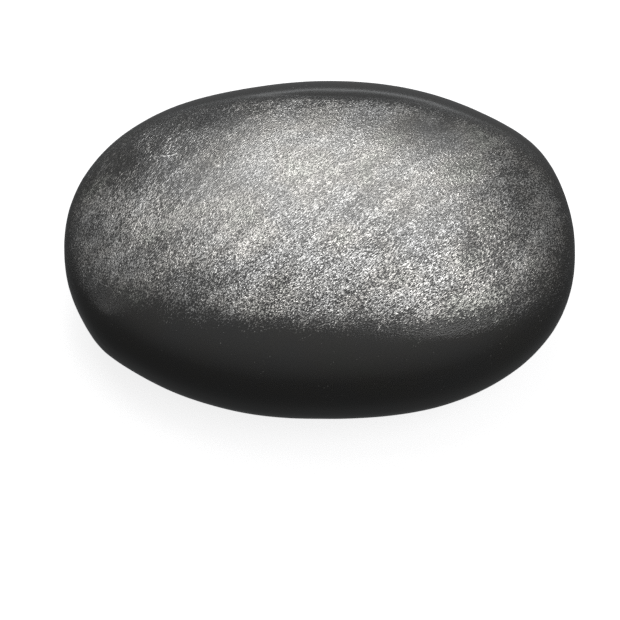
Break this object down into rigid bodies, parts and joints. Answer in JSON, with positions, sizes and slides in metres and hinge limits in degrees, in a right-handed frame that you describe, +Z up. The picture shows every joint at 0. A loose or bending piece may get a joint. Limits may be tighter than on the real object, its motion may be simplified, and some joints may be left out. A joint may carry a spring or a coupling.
{
  "type": "basalt massage stone",
  "caption": "Smooth flattened oval pebble of solid black basalt, domed above and below, with a small flat seat under it, for hot stone massage.",
  "frame": {"origin": "in the plane of the flat seat, under the middle of the stone's box", "axes": "+X along the stone's length, +Y across it towards its far side, +Z up through the domed crown"},
  "size_m": [0.0518, 0.0358, 0.019],
  "materials": {
    "basalt": "fine-grained satin basalt: rubbed grey crown with a bright sparkle, smoother dark rim"
  },
  "bodies": {
    "root": {"basalt_stone": "basalt"}
  },
  "joints": []
}
